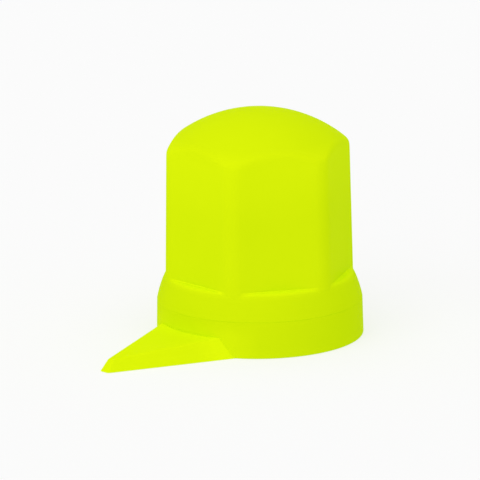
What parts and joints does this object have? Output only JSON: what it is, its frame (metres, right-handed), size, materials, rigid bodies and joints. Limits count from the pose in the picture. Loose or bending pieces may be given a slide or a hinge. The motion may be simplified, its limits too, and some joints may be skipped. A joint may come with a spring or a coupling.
{
  "type": "wheel nut indicator cap",
  "caption": "Push-on cap for a hexagonal wheel nut: a splined ring with an arrow pointer that shows if the nut turns, under a domed hexagonal dust cap.",
  "frame": {"origin": "on the socket's axis, in the plane of the rim that meets the wheel", "axes": "+Z along the socket's axis towards the dome, -Y along the pointer, square to one flat of the hexagon"},
  "size_m": [0.052, 0.0792, 0.0575],
  "materials": {
    "ring_plastic": "satin moulded, fluorescent yellow",
    "cap_plastic": "satin moulded, fluorescent yellow"
  },
  "bodies": {
    "ring": {"pointer_ring": "ring_plastic"},
    "cap": {"dust_cap": "cap_plastic"}
  },
  "joints": [
    {"name": "cap_pull_off", "type": "slide", "parent": "ring", "child": "cap", "axis": [0, 0, 1], "range_m": [0, 0.06]}
  ]
}
